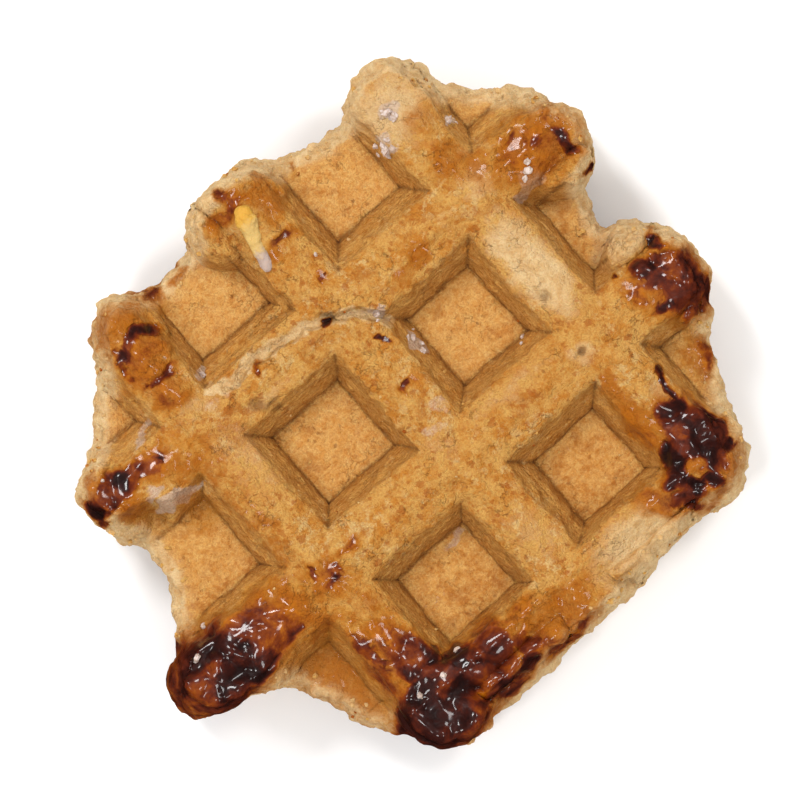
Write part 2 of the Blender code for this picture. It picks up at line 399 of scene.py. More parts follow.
# %% Syrup and caramel
SYRUP = {
    "west knob": [
        (-46, 0, 8.5, 6.5, 0, 0.86), (-50.5, 1.2, 2.2, 2.4, 0, 0.62), (-49, -3, 2.6, 2.0, 0, 0.6),
        (-46.8, 2.4, 2.6, 1.5, -15, 0.88), (-42.4, -3, 3.2, 2.2, -20, 0.95),
        (-40, 0.6, 1.2, 1.1, 0, 1.0), (-46.8, -3.6, 1.0, 0.9, 0, 0.97),
        (-38, 2.2, 3.5, 2.6, 0, 0.58), (-39, -3.9, 2.4, 1.5, 0, 0.88),
        (-36, 0, 5.0, 5.0, 0, 0.52), (-34.5, -3.0, 2.2, 1.0, 10, 0.68),
        (-31.5, -0.5, 3.0, 4.0, 0, 0.34), (-43, 5.2, 4.2, 1.2, 5, 0.62),
    ],
    "south-west knob": [
        (-24.5, -25.5, 8.0, 6.5, 0, 0.86), (-27.5, -26, 3.0, 2.4, 30, 0.97),
        (-24.6, -24.6, 2.4, 1.6, 20, 0.98), (-22.6, -28.6, 2.6, 1.6, -20, 0.97),
        (-30, -23, 1.6, 2.2, 0, 0.9), (-22, -20.5, 2.4, 3.6, 0, 0.7),
        (-16.5, -25, 5.0, 4.2, 15, 0.76), (-17.6, -27, 2.4, 1.8, 0, 0.64),
        (-12.6, -23.5, 2.6, 3.2, 0, 0.58), (-18, -20.8, 2.8, 1.2, -10, 0.86),
        (-13, -20.6, 2.6, 1.0, 0, 0.5), (-8, -21.8, 4.0, 1.3, -10, 0.42),
        (-23.5, -15.5, 3.2, 3.2, 0, 0.56), (-24.7, -18.2, 3.0, 1.4, -41, 0.84),
        (-20.6, -18, 1.2, 2.4, 0, 0.84), (-28.6, -17, 1.2, 4.5, 0, 0.5),
        # The next two thin patches darken the wall of the half pocket between the west and
        # south-west knobs: partly its syrup, partly painted shade.
        (-29.4, -5.4, 3.4, 1.2, 0, 0.34), (-26.6, -10, 1.0, 4.0, 0, 0.3),
        (-24, -11.5, 3.0, 2.8, 0, 0.46), (-27.8, -12, 0.9, 4.0, 12, 0.6),
        (-25.2, -20.5, 2.6, 1.6, 0, 0.84), (-18.4, -21.8, 1.4, 1.2, 0, 1.0),
        (-16.9, -29, 5.0, 1.4, -12, 0.84), (-11.4, -28.6, 3.0, 1.2, 0, 0.8),
    ],
    "south rim": [
        (-4, -26.5, 7.5, 3.6, 5, 0.34), (-9.6, -26.5, 1.6, 2.6, 20, 0.66),
        (-7, -28.2, 2.2, 0.8, -10, 0.46), (-1.5, -28.2, 2.6, 0.8, 10, 0.4),
        (1.4, -26.6, 1.6, 1.6, 0, 0.36), (-5.4, -29.8, 5.0, 0.9, 4, 0.58),
        (-9.4, -24.6, 2.6, 1.0, 30, 0.5),
    ],
    "south-east knob": [
        (28.4, -19.4, 3.9, 6.8, 5, 0.8), (28.5, -14.7, 2.6, 1.8, -20, 0.97),
        (30.2, -10.7, 0.7, 2.8, -8, 0.86), (31.6, -20.4, 1.3, 2.8, 0, 0.84),
        (22.4, -22.4, 1.5, 2.4, -10, 1.0), (27.2, -19.6, 1.8, 1.4, 0, 0.97),
        (23.4, -24.8, 2.2, 1.0, -50, 0.98), (21.3, -22.2, 1.3, 1.8, 0, 0.95),
        (26.2, -26.4, 1.7, 1.0, -41, 0.95), (28.6, -23.4, 1.2, 2.4, -40, 0.92),
        (30.8, -23.4, 1.2, 2.2, 0, 0.78), (17.9, -23.4, 3.8, 1.9, -41, 0.42),
        (21.6, -25.8, 2.4, 1.3, -41, 0.68), (25, -28.4, 3.5, 1.0, 0, 0.4),
        (22.6, -13.8, 1.2, 5.0, 0, 0.4), (24.0, -19.8, 1.3, 1.8, 0, 0.98),
        (27.6, -24.2, 1.2, 2.2, -40, 0.97),
    ],
    "east knob": [
        (40.6, -1.5, 4.6, 5.4, 0, 0.7), (38.6, 3.4, 1.7, 1.6, 0, 0.84),
        (39.2, 2.9, 0.7, 0.6, 0, 1.0), (42.5, -0.6, 1.1, 2.8, -8, 0.87),
        (37.4, -3.4, 2.4, 0.9, -20, 0.92), (43.2, -4.6, 2.4, 1.1, 50, 0.78),
        (42.6, 5.2, 1.0, 1.6, 0, 0.82), (36.4, 0.5, 2.0, 2.6, 0, 0.44),
        (39.5, -6.4, 3.0, 0.8, 10, 0.62), (36, -11.4, 2.2, 3.4, -20, 0.64),
        (34.7, 5.4, 0.6, 0.5, 0, 0.7),
    ],
    "east upper knob": [
        (38, 26.5, 6.0, 4.6, -10, 0.4), (42, 24.4, 1.2, 2.6, 5, 0.84),
        (38.2, 27, 1.2, 0.7, 0, 0.78), (36.6, 30, 1.2, 0.5, 0, 0.56),
        (42.4, 19, 2.0, 0.35, 10, 0.84), (41.8, 28.6, 1.2, 1.0, 0, 0.44),
        (34.5, 25.6, 3.0, 2.2, 0, 0.34),
    ],
    "north-east knob": [
        (28.6, 40.6, 2.6, 2.4, 0, 0.2), (29.4, 29.4, 2.4, 2.2, 0, 0.24),
        (27.4, 33, 3.0, 2.4, 0, 0.3),
    ],
    "north knob": [
        (-2.6, 48.4, 2.6, 1.4, 10, 0.46), (1.8, 49.4, 2.0, 1.4, -20, 0.48),
        (0, 51, 1.2, 1.0, 0, 0.52), (0.6, 48.8, 2.0, 1.2, 0, 0.56), (4.6, 46, 2.4, 3.4, 0, 0.3),
        (3, 40.6, 2.0, 0.8, -15, 0.5), (0.6, 39.6, 1.6, 1.4, 0, 0.34),
        (9.6, 46.8, 1.4, 0.5, 50, 0.5), (3.4, 33, 0.8, 0.9, 0, 0.5),
    ],
    "north-west knob": [
        (-24, 40.4, 4.4, 4.4, 0, 0.38), (-21.9, 43.7, 2.6, 1.1, -10, 0.97),
        (-25.4, 43.4, 1.6, 1.0, 30, 0.72), (-27, 40.6, 0.8, 2.2, 10, 0.56),
        (-20.6, 43.2, 1.0, 1.4, 0, 0.66), (-23, 46.8, 4.4, 2.6, 0, 0.34),
        (-16.8, 46.4, 1.3, 1.7, 0, 0.56), (-12.6, 46.4, 1.8, 0.7, 0, 0.4),
        (-23.4, 36.8, 3.4, 0.7, 0, 0.66), (-24.6, 34.2, 2.8, 2.2, 0, 0.4),
    ],
    "west upper knob": [
        (-39.9, 29.9, 4.4, 1.7, 4, 0.58), (-37.4, 29.4, 2.0, 1.3, 10, 0.97),
        (-43.4, 29.2, 1.3, 2.0, 20, 0.93), (-39, 28, 4.4, 1.1, 0, 0.66),
        (-34, 28.6, 4.4, 1.8, -5, 0.56), (-31.6, 27.9, 0.9, 0.5, 0, 0.92),
        (-39, 25.6, 2.6, 2.2, 0, 0.4), (-41.6, 31.6, 2.6, 1.2, 30, 0.4),
        (-43.4, 27, 0.7, 0.6, 0, 0.62), (-32.6, 18.6, 2.4, 3.0, 0, 0.36),
        (-29.6, 26.5, 3.2, 3.6, 0, 0.26),
    ],
    "crossings": [
        (-24.4, -0.4, 2.8, 2.4, 0, 0.46), (-24, -1.4, 1.2, 0.6, 0, 0.78),
        (-22.2, -0.3, 0.5, 1.0, 0, 0.7), (-26, 1.6, 0.6, 1.1, 0, 0.62),
        (-19, 0.8, 2.6, 0.7, 0, 0.46), (0, 27.3, 0.8, 0.5, 0, 1.0),
        (4.4, 20.2, 0.5, 1.0, 20, 0.8), (-12, 28.5, 0.8, 0.5, 0, 0.62),
        (1.5, 12.7, 1.3, 0.7, -20, 0.62), (15.6, 26.4, 1.4, 1.0, 0, 0.42),
    ],
}
THIN_SYRUP = [
    (25.9, -22.2, 1.3, 1.1, -41, 0.5), (37.5, -1.2, 1.3, 1.5, 0, 0.4),
    (-49.6, -1.4, 2.8, 2.4, 0, 0.34), (-46.2, 1.2, 2.0, 1.2, 0, 0.35),
    (-17.6, -27, 2.4, 1.8, 0, 0.3), (-22.4, -22.8, 1.6, 0.9, 30, 0.35),
    (41.6, 0.8, 1.4, 1.6, 0, 0.3), (27, -17.4, 1.2, 1.6, 0, 0.3),
]
EVERY_SYRUP = [spot for spots in SYRUP.values() for spot in spots]
print("syrup patches:", len(EVERY_SYRUP), "and thin ones:", len(THIN_SYRUP))

# %% [markdown]
# ## Paler and browner places
#
# Dough that never touched the iron stays cream. The crust is browner along the south and
# on the west ribs, where the iron was hottest, and a few patches of white dough and dry
# grey sugar show through. A long fold crosses the north rib, where two lumps of dough met.
# Hollows get painted shade only: they are darkened, and their form stays. Pits are burst bubbles,
# given as a place, a reach and a depth,
# and domes are the same the other way up: the swollen places on the knobs. Pits are dented and
# also darkened with painted shade.

# %% Dough notes
PALE = [
    (26.8, 14, 3.6, 8.0, 0, 1.0), (24, 0.1, 1.9, 1.6, 0, 0.6), (28.5, 28.5, 2.6, 2.0, 0, 0.6),
    (-43, 26, 2.2, 2.4, 0, 0.8), (12.5, -25.5, 7.5, 4.0, 0, 0.8), (26, 44, 6.0, 5.0, 0, 0.7),
    (-14, 25, 4.0, 1.6, 0, 0.4), (28.4, -11.4, 2.2, 1.4, 0, 0.6), (38.5, 8, 4.4, 2.4, 0, 0.75),
    (1.5, -15, 3.2, 5, 0, 0.35), (-22, 20, 3.5, 7, 0, 0.35), (12, 3, 8, 1.6, 0, 0.35),
    (-8, -29.5, 12, 1.6, 0, 0.6), (-22, 30.5, 4.0, 2.0, 0, 0.4), (0, 3, 3, 3, 0, 0.3),
]
BROWN = [
    (-24, -8, 4.5, 6, 0, 0.5), (-33, 0, 8, 6, 0, 0.7), (-27, 14, 2.2, 14, 0, 0.6),
    (-37, 14, 6, 7, 0, 0.35), (36, 13, 4, 6, 0, 0.4), (38, 26, 8, 6, 0, 0.7),
    (24, 25, 10, 1.6, 0, 0.4), (-11, -14, 8, 7, 0, 0.4), (14, -14, 8, 7, 0, 0.4),
    (-35, -13, 6, 8, 0, 0.85), (-24, -9, 4, 7, 0, 0.6), (14, -1, 16, 3, 0, 0.3),
    (-22, 27, 8, 5, 0, 0.35), (23.4, -13, 1.8, 6, 0, 0.9), (23.6, -6, 1.6, 2.2, 0, 0.9),
    # The patch at (-30, -6) browns that same wall: partly real browning, partly painted shade.
    (-30, -6, 2.4, 3.4, 0, 0.9), (30.4, 30.4, 2.4, 2.0, 0, 0.7), (13.4, 25.2, 3.2, 1.6, 0, 0.9),
]
DRY_SUGAR = [
    (-33, 22.4, 3.8, 1.1, -12, 0.9), (-35.2, 25, 1.4, 0.8, 30, 0.8),
    (-31, 32.6, 2.2, 0.8, 20, 0.6), (7.2, 16.4, 1.0, 2.2, 0, 0.95), (5.8, 24, 1.4, 0.6, -30, 0.8),
    (3.6, 8, 1.4, 2.0, 30, 0.5), (-7, -8, 2.4, 0.8, -10, 0.55), (35.4, 23.4, 1.9, 1.6, 0, 1.0),
    (33, 22.4, 1.6, 0.7, 0, 0.6), (22, 40, 1.6, 0.9, -20, 0.9), (22, 42, 1.2, 0.9, 0, 0.7),
    (25.6, 44, 1.4, 0.9, 20, 0.9), (31.5, 37.6, 0.9, 0.6, 0, 0.8), (-19, 33.6, 0.8, 1.0, 0, 0.9),
    (-24.6, -21.4, 1.0, 0.7, 0, 0.6), (1.3, 5.7, 2.2, 1.0, -20, 0.5),
    (-14.5, -13.2, 1.4, 0.5, 0, 0.5), (-20, 29, 3, 1.2, -20, 0.4),
]
HOLLOWS = [(-14.8, 23.8, 2.9, 1.1, -41, 0.9), (-9.4, -2.6, 1.6, 0.5, 30, 0.5)]
FOLD = [
    (-19.5, 31), (-16, 29.2), (-13, 30.4), (-8, 29.5), (-3, 28.6), (0, 27.3), (3, 26), (5, 23.8),
    (6, 21.6),
]
PITS = [
    (24, 0.1, 0.9, 1.6), (25, 9.4, 1.1, 1.3), (-16, 24.8, 1.4, 1.2), (-13.8, 23, 1.4, 1.2),
    (-15.5, -13, 1.0, 0.4), (0, 27.3, 0.9, 1.6), (4.4, 20.3, 0.6, 0.7), (-2, -2.6, 1.0, 0.5),
    (7, -23.6, 0.8, 0.5), (40, 3, 0.8, 0.9), (-40, 0.6, 1.1, 0.8), (-8, 47, 0.7, 0.5),
    (0.2, 51.4, 0.7, 0.6),
]
DOMES = [
    (-24, 40.4, 3.6, 1.3), (-22.6, 47.6, 3.4, 0.8), (-24.2, 34.6, 2.6, 0.7), (0.5, 46, 3.0, 0.8),
    (-4.6, 50, 3.0, 0.8), (5, 49.5, 3.4, 0.7), (26, 46.6, 3.6, 0.8), (28.5, 40.5, 3.4, 0.9),
    (22, 44, 2.6, 0.6), (40.5, 29, 3.0, 0.8), (42.5, 22.6, 2.6, 0.7), (36, 24.6, 3.0, 0.6),
    (-41.5, 31.4, 3.0, 0.7), (-41.8, 25.8, 2.6, 0.9), (-37, 26.6, 2.4, 0.6), (-50, 1, 2.6, 0.9),
    (-48.2, -2.8, 2.8, 0.8), (-43.6, 1.5, 2.6, 0.9), (-38.4, 2, 2.6, 0.7), (-39, -2.6, 2.2, 0.5),
    (-27, -27, 3.0, 0.9), (-21.6, -28.5, 3.0, 0.9), (-16.6, -25.6, 3.4, 1.0),
    (-22, -20.4, 2.6, 0.8), (-11, -25, 2.8, 0.7), (-4, -26.6, 3.2, 0.8), (1.6, -27, 2.8, 0.5),
    (26.4, -23.4, 2.8, 0.9), (30.5, -18.5, 2.6, 0.8), (21.5, -25, 2.8, 0.6),
    (41.5, -2.6, 3.2, 0.9), (38.6, 4.2, 2.6, 0.8), (43, 4, 2.4, 0.7), (38, -4.4, 2.8, 0.5),
    (39, 8, 2.6, 0.5),
]
PIT_STEEPNESS = 1.5
DOME_STEEPNESS = 1.2


def mounds(x, y, places, steepness):
    """How high in mm the highest of these mounds is at each point."""
    highest = np.zeros(len(x))
    for middle_x, middle_y, reach, height in places:
        away = np.hypot(x - middle_x, y - middle_y) / reach
        highest = np.maximum(highest, height * np.exp(-away ** 2 * steepness))
    return highest


print("notes:", len(PALE), "pale,", len(BROWN), "brown,", len(DRY_SUGAR), "sugary")
print("forms:", len(PITS), "pits,", len(DOMES), "domes")

# %% [markdown]
# ## How near the free edge
#
# The dough is lumpy and pale near its free edge and even where the irons pressed it. The
# edge as seen from above is found from the skin itself: in each direction from the
# middle, the furthest point. A point's freedom fades from 1 at that edge to 0 a few
# millimetres inside it.

# %% The free edge
BEARINGS = 900


def free_edge(points):
    """The outline seen from above, as rows of x and y in metres."""
    bearing = np.arctan2(points[:, 1], points[:, 0])
    slot = ((bearing + math.pi) / (2 * math.pi) * BEARINGS).astype(int) % BEARINGS
    reach = np.hypot(points[:, 0], points[:, 1])
    furthest = np.zeros(BEARINGS)
    np.maximum.at(furthest, slot, reach)
    around = (np.arange(BEARINGS) + 0.5) / BEARINGS * 2 * math.pi - math.pi
    return np.stack([furthest * np.cos(around), furthest * np.sin(around)], axis=1)


def edge_distance(points, edge):
    """How far each point is inside the edge, in mm."""
    nearest = np.full(len(points), 1e9)
    for x, y in edge:
        gap = (points[:, 0] - x) ** 2 + (points[:, 1] - y) ** 2
        np.minimum(nearest, gap, out=nearest)
    return np.sqrt(nearest) / MM


edge = free_edge(coordinates(crust.data))
print("edge reaches", round(float(np.hypot(*edge.T).max()) / MM, 1), "mm from the middle")

# %% [markdown]
# ## Reading a point
#
# One function reads everything about the points of a mesh: how much syrup lies there and
# how long it cooked, how free and how pale the dough is, and which way a pocket wall
# faces. The sculpting uses it first, and the colours use it again on the finished skin.
# The patches are looked up at places pushed about by noise, so that no rim is a clean
# ellipse. The underside was baked on the other iron, so it gets the same knobs of syrup
# with a different push and a little less of it.

# %% Reader
HALF_SEAM = 1.5 * MM
UNDERSIDE_SHIFT = 1.6
SYRUP_BELOW = 0.8
SYRUP_ADDED_ABOVE = 0.2


def read_crust(points, facing):
    """What the sculpting and the colours need to know about each point, by name."""
    height = np.abs(points[:, 2] - MIDDLE) / MM
    inside = edge_distance(points, edge)
    upper = soft_step(MIDDLE - HALF_SEAM, MIDDLE + HALF_SEAM, points[:, 2])
    layer = np.where(upper > 0.5, 0.0, 1.0)
    flat = np.stack([points[:, 0], points[:, 1], layer], axis=1)
    push_x = lumps(flat, 3.4, 1) * 1.3 + lumps(flat, 1.3, 2) * 0.6
    push_y = lumps(flat, 3.4, 3) * 1.3 + lumps(flat, 1.3, 4) * 0.6
    shift = (1 - upper) * UNDERSIDE_SHIFT
    x = (points[:, 0] - CROSSING.x) / MM + push_x + shift
    y = (points[:, 1] - CROSSING.y) / MM + push_y - shift

    deep = 0.35 + 0.65 * soft_step(2.0, 9.0, height)
    reached = np.maximum(deep, 0.92 * soft_step(4.0, 1.0, inside))
    syrup = patches(x, y, EVERY_SYRUP, 0.5) * reached * (SYRUP_BELOW + SYRUP_ADDED_ABOVE * upper)
    syrup *= 1 - patches(x, y, THIN_SYRUP) * upper

    free = soft_step(5.0, 1.2, inside)
    level = soft_step(0.75, 0.96, np.abs(facing[:, 2]))
    pressed = level * soft_step(1.0, 2.6, inside)
    wall = soft_step(0.85, 0.45, np.abs(facing[:, 2])) * (1 - free)
    across = np.abs(facing[:, 1]) - np.abs(facing[:, 0])
    return {
        "x": x,
        "y": y,
        "upper": upper,
        "syrup": syrup,
        "free": free,
        "pale": np.maximum(free * (1 - 0.55 * pressed), patches(x, y, PALE, 0.8) * upper),
        "brown": patches(x, y, BROWN) * (0.5 + 0.5 * upper),
        "dry_sugar": patches(x, y, DRY_SUGAR, 0.25) * upper,
        "wall_along_x": wall * soft_step(-0.15, 0.15, across),
        "wall_along_y": wall * soft_step(0.15, -0.15, across),
        "floor": level * (1 - soft_step(4.6, 6.0, height)),
    }


print("reader ready")

# %% [markdown]
# ## Sculpting the dough
#
# The sculpting goes from large to small. Free dough swells in lumps as big as a pea,
# each knob gets its own domes, and the ribs, which the irons kept straight, only wander
# by a fraction of a millimetre. Their tops fall away a little to each side, as a crown.
# The points are moved along their own direction, and again with fresh directions for the
# smaller forms.

# %% Lumps and domes
CROWN = 1.3
WANDER = 0.3

points = coordinates(crust.data)
facing = directions(crust.data)
found = read_crust(points, facing)
swell = lumps(points, 6.0, 11) * (0.2 + 0.75 * found["free"])
swell += lumps(points, 2.8, 12) * (0.12 + 0.5 * found["free"])
row_rise, column_rise = rise(points, 1, ROWS), rise(points, 0, COLUMNS)
wall = np.maximum(row_rise, column_rise) / DEPTH
fall = soft_step(2.6, 0.9, wall) * soft_step(0.2, 0.9, wall) * CROWN * (1 - found["free"])
sideways = np.stack([lumps(points, 9.0, 13), lumps(points, 9.0, 14)], axis=1) * WANDER * MM
crown = mounds(found["x"], found["y"], DOMES, DOME_STEEPNESS)
crown *= soft_step(0.2, 0.7, facing[:, 2]) * soft_step(2.0, 6.0, (points[:, 2] - MIDDLE) / MM)
points[:, 2] -= np.sign(points[:, 2] - MIDDLE) * fall * MM
points = points + facing * ((swell + crown) * MM)[:, None]
points[:, :2] += sideways
reshape(crust.data, points)
print("swell from", round(swell.min(), 2), "to", round(swell.max(), 2), "mm")

# %% [markdown]
# ## The folds of caramel, the fold in the dough, and the pits
#
# Cooked syrup stands proud of the dough in rounded folds with tight creases between
# them. Swirled noise has just that form when its sign is dropped: every place where it
# crosses zero becomes a crease. Bare crust gets small flakes with stepped rims instead,
# and the pocket walls get ripples along them, from the pull of the pegs. The fold in the
# north rib is a groove along a path, with raised lips, and the pits are burst bubbles.

# %% Folds, groove and pits
LIP_HEIGHT = 0.45
GROOVE_DEPTH = 1.1

facing = directions(crust.data)
found = read_crust(points, facing)
cooked = soft_step(0.25, 0.75, found["syrup"])
relief = cooked * (folds(points, 5.0, 24) * 0.7 - 0.4 + lumps(points, 2.2, 28) * 0.3)
relief += lumps(points, 1.3, 26) * (0.10 + 0.34 * found["free"]) * (1 - cooked)
relief += np.clip(lumps(points, 1.9, 34), 0.0, 1.0) * 0.7 * found["free"] * (1 - cooked)
relief += lumps(points, 3.2, 29) * 0.22 * (1 - cooked)
flakes = soft_step(-0.04, 0.04, lumps(points, 2.4, 32)) * 0.14
flakes += soft_step(0.16, 0.24, lumps(points, 1.5, 33)) * 0.14
relief += (flakes - 0.1) * (1 - cooked) * (1 - 0.7 * found["floor"])
relief += lumps(points, (2.6, 0.9, 0.9), 30) * 0.1 * found["wall_along_x"]
relief += lumps(points, (0.9, 2.6, 0.9), 31) * 0.1 * found["wall_along_y"]
exact_x = (points[:, 0] - CROSSING.x) / MM
exact_y = (points[:, 1] - CROSSING.y) / MM
on_top = soft_step(0.3, 0.8, facing[:, 2])
wander = lumps(points, 3.0, 27) * 0.5 + lumps(points, 1.1, 37) * 0.5
gap, share = near_path(exact_x + wander, exact_y + wander, FOLD)
groove = soft_step(1.0, 0.15, gap) * soft_step(0.0, 0.15, share) * soft_step(1.0, 0.9, share)
lips = LIP_HEIGHT * np.exp(-((gap - 1.5) / 0.8) ** 2) * soft_step(0.1, 0.4, share)
relief += on_top * (lips - GROOVE_DEPTH * groove)
relief -= on_top * mounds(exact_x, exact_y, PITS, PIT_STEEPNESS)
points = points + facing * (relief * MM)[:, None]
points[:, 2] = np.maximum(points[:, 2], LOW.z)
reshape(crust.data, points)
print("relief from", round(relief.min(), 2), "to", round(relief.max(), 2), "mm")

# %% [markdown]
# ## Thinning the skin
#
# The skin is now finer than it needs to be on the level pocket floors and plain walls.
# Decimation spends the triangles where the forms are, which keeps the file light. How high
# each point stands on the walls of the rows and columns was measured on the straight ribs,
# so it is stored first, and thins along with the skin.

# %% Thin out
MOST_TRIANGLES = 190000
store(crust.data, "row_rise", row_rise)
store(crust.data, "column_rise", column_rise)
thin = crust.modifiers.new("thin", "DECIMATE")
thin.ratio = min(1.0, MOST_TRIANGLES / triangles(crust.data))
settle(crust)
crust.data.name = "waffle_crust"
crust.data.shade_smooth()
print("crust:", triangles(crust.data), "triangles")

# %% [markdown]
# ## Notes on the finished skin
#
# The colours need the same readings, so they are stored on the skin's points under plain
# names, for the material to read. One more is measured from the form itself: the skin is
# relaxed many times, and where the relaxed skin stands outside the real one, the place
# is a hollow. Syrup cooks darkest in the hollows, where it lies deepest. The fold shows
# dough that the iron never reached, so it is noted as pale, with some dry sugar in it.

# %% Store the notes
HOLLOW_PASSES = 14

points = coordinates(crust.data)
facing = directions(crust.data)
edge = free_edge(points)
found = read_crust(points, facing)
hollow = hollows(crust.data, HOLLOW_PASSES)
exact_x = (points[:, 0] - CROSSING.x) / MM
exact_y = (points[:, 1] - CROSSING.y) / MM
gap, share = near_path(exact_x, exact_y, FOLD)
ragged = gap + lumps(points, 1.2, 35) * 0.8
fold_pale = soft_step(1.3, 0.5, ragged) * found["upper"]
fold_sugar = soft_step(0.7, 0.2, ragged) * soft_step(0.45, 0.7, share) * 0.42 * found["upper"]
found["pale"] = np.maximum(found["pale"], fold_pale)
found["dry_sugar"] = np.maximum(found["dry_sugar"], fold_sugar)
for name in ("syrup", "pale", "brown", "dry_sugar", "wall_along_x", "wall_along_y", "floor"):
    store(crust.data, name, found[name])
store(crust.data, "hollow", hollow)
# Pits and hollows are stored for the painted shade that darkens them.
pits = mounds(exact_x, exact_y, PITS, PIT_STEEPNESS)
pits = np.maximum(pits, patches(found["x"], found["y"], HOLLOWS, 0.7))
store(crust.data, "pit", pits * found["upper"])
print("hollows in mm, by share:", np.percentile(hollow, (1, 10, 50, 90, 99)).round(2))

# %% [markdown]
# ## Shader arithmetic
#
# A baked crust is many small decisions, and a node tree for it is easier to read as
# sums. `Wire` wraps one output of a node: adding, subtracting, multiplying or dividing it
# adds the Math node. `Finish.add` makes every other kind of node.

# %% Wires
CHIP_PUSH = 1.6


class Wire:
    """An output of a node that can be used in sums."""

    def __init__(self, finish, socket):
        self.finish = finish
        self.socket = socket

    def _math(self, operation, *values):
        return self.finish.add("ShaderNodeMath", {"operation": operation}, dict(enumerate(values)))

    def __add__(self, other):
        return self._math("ADD", self, other)

    def __radd__(self, other):
        return self._math("ADD", other, self)

    def __sub__(self, other):
        return self._math("SUBTRACT", self, other)

    def __rsub__(self, other):
        return self._math("SUBTRACT", other, self)

    def __mul__(self, other):
        return self._math("MULTIPLY", self, other)

    def __rmul__(self, other):
        return self._math("MULTIPLY", other, self)

    def __truediv__(self, other):
        return self._math("DIVIDE", self, other)


class Finish:
    """A material with a Principled shader, built from sums of wires."""

    def __init__(self, name, constants):
        self.material = bpy.data.materials.new(name)
        self.material.use_nodes = True
        self.tree = self.material.node_tree
        self.shader = self.tree.nodes["Principled BSDF"]
        for socket, value in constants.items():
            self.shader.inputs[socket].default_value = value

    def add(self, kind, settings=None, inputs=None, output=0):
        """A node of this kind, its settings first, then the values or wires of its sockets."""
        node = self.tree.nodes.new(kind)
        for setting, value in (settings or {}).items():
            if setting == "stops":
                while len(node.color_ramp.elements) < len(value):
                    node.color_ramp.elements.new(0.5)
                for stop, (position, colour) in zip(node.color_ramp.elements, value):
                    stop.position = position
                    stop.color = colour
            else:
                setattr(node, setting, value)
        for socket, value in (inputs or {}).items():
            if isinstance(value, Wire):
                self.tree.links.new(value.socket, node.inputs[socket])
            else:
                node.inputs[socket].default_value = value
        return Wire(self, node.outputs[output])

    def note(self, name):
        """A number stored on the points."""
        return self.add("ShaderNodeAttribute", {"attribute_name": name}, output="Fac")

    def place(self, stretch=(1, 1, 1)):
        """The place on the object in mm, squeezed or stretched."""
        spot = self.add("ShaderNodeTexCoord", output="Object")
        scale = tuple(1000 * part for part in stretch)
        return self.add("ShaderNodeVectorMath", {"operation": "MULTIPLY"}, {0: spot, 1: scale})

    def noise(self, size, detail=3.0, roughness=0.55, stretch=(1, 1, 1), warp=0.0):
        """Noise from 0 to 1 whose lumps are about this many mm across."""
        values = {"Vector": self.place(stretch), "Scale": 1 / size, "Detail": detail}
        values |= {"Roughness": roughness, "Distortion": warp}
        return self.add("ShaderNodeTexNoise", {}, values)

    def chips(self, size, share):
        """1 on scattered ragged chips about this many mm across, 0 elsewhere. Each cell of
        a Voronoi pattern draws a number, and the cells that draw one below the share are
        chips. The place is pushed by noise first, so the chips are ragged."""
        values = {"Vector": self.place(), "Scale": 1.3 / size, "Detail": 4.0, "Roughness": 0.7}
        push = self.add("ShaderNodeTexNoise", {}, values, "Color")
        values = {0: push, "Scale": CHIP_PUSH * size}
        push = self.add("ShaderNodeVectorMath", {"operation": "SCALE"}, values)
        spot = self.add("ShaderNodeVectorMath", {"operation": "ADD"}, {0: self.place(), 1: push})
        values = {"Vector": spot, "Scale": 1 / size}
        drawn = self.add("ShaderNodeTexVoronoi", {}, values, "Color")
        red = self.add("ShaderNodeSeparateColor", {}, {0: drawn})
        distance = self.add("ShaderNodeTexVoronoi", {}, values, "Distance")
        ragged = distance + self.noise(size * 0.5, 4.0, 0.7) * 0.6
        return self.step(share, share - 0.04, red) * self.step(0.8, 0.66, ragged)

    def step(self, low, high, value):
        """A smooth rise from 0 at low to 1 at high; low may be the larger."""
        values = {"Value": value, "From Min": low, "From Max": high, "To Min": 0.0, "To Max": 1.0}
        return self.add("ShaderNodeMapRange", {"interpolation_type": "SMOOTHSTEP"}, values)

    def unsigned(self, value):
        """The value without its sign."""
        return self.add("ShaderNodeMath", {"operation": "ABSOLUTE"}, {0: value})

    def mix(self, share, first, second):
        """A colour between two colours."""
        return self.add("ShaderNodeMix", {"data_type": "RGBA"}, {0: share, 6: first, 7: second}, 2)

    def feed(self, **sockets):
        """Links these wires to the shader's sockets of the same names."""
        for socket, wire in sockets.items():
            self.tree.links.new(wire.socket, self.shader.inputs[socket.replace("_", " ")])

    def bump(self, height, distance):
        """A normal bent by this height, from 0 to 1, over this distance in mm."""
        values = {"Strength": 1.0, "Distance": distance * MM, "Height": height}
        return self.add("ShaderNodeBump", {}, values)


print("wires ready")

# %% [markdown]
# ## Baked dough and caramel
#
# The crust and the caramel are one material, because syrup has no clean end: it thins to
# a stain. Golden tan is the base, mottled at three sizes. Browning, cream dough, streaked
# pocket walls and dry sugar are laid over it in turn, and the syrup goes on last, through
# a ramp from amber to char. Where there is syrup, a coat of clear gloss lies on top. Each
# share is a note from the skin with noise added before a soft step, so that a finish
# breaks up into flecks at its rim as it does on a crust.

# %% The crust's colours
def tone(red, green, blue):
    """A colour given as a screen shows it, from 0 to 255, made linear."""
    parts = [part / 255 for part in (red, green, blue)]
    linear = [part / 12.92 if part < 0.04 else ((part + 0.055) / 1.055) ** 2.4 for part in parts]
    return (*linear, 1.0)


